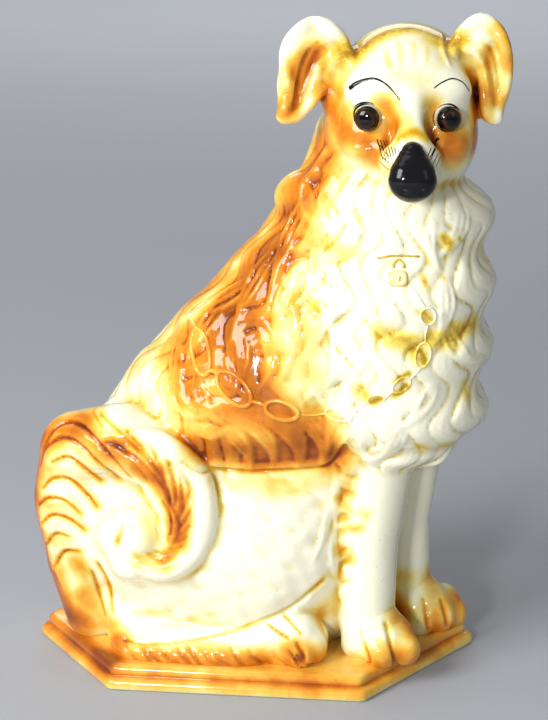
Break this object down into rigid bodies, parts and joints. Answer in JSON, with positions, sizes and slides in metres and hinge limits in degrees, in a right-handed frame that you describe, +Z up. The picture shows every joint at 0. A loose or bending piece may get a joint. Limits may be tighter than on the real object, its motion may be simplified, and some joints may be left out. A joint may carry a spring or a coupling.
{
  "type": "figurine",
  "caption": "Hollow glazed earthenware mantelpiece dog, seated on a six-sided plinth, with glass eyes, curled tail, relief chain and padlock.",
  "frame": {"origin": "middle of the figure's footprint box, on the surface that it stands on", "axes": "+Z up; the dog's hind part and the plinth's long side lie along X with the chest towards +X; the face looks along -Y"},
  "size_m": [0.2413, 0.1602, 0.3347],
  "materials": {
    "plinth_glaze": "high gloss glaze over orange paint, pale at the foot",
    "coat_orange": "high gloss glaze over burnt orange shaded to ochre and cream",
    "coat_cream": "high gloss cream glaze, ochre in the hollows",
    "nose_black": "glossy black enamel",
    "chain_relief": "glazed relief with worn traces of gilding",
    "eye_glass": "clear over dark brown, black pupil",
    "plaster": "matt plaster of Paris"
  },
  "bodies": {
    "root": {"plinth": "plinth_glaze", "torso": "coat_orange", "haunch_right": "coat_cream", "haunch_left": "coat_cream", "chest_ruff": "coat_cream", "head": "coat_cream", "ear_right": "coat_orange", "ear_left": "coat_orange", "nose": "nose_black", "foreleg_right": "coat_cream", "foreleg_left": "coat_cream", "hind_paw_right": "coat_orange", "hind_paw_left": "coat_orange", "tail": "coat_orange", "chain": "chain_relief", "padlock": "chain_relief", "eye_right": "eye_glass", "eye_left": "eye_glass", "eye_plaster_right": "plaster", "eye_plaster_left": "plaster"}
  },
  "joints": []
}
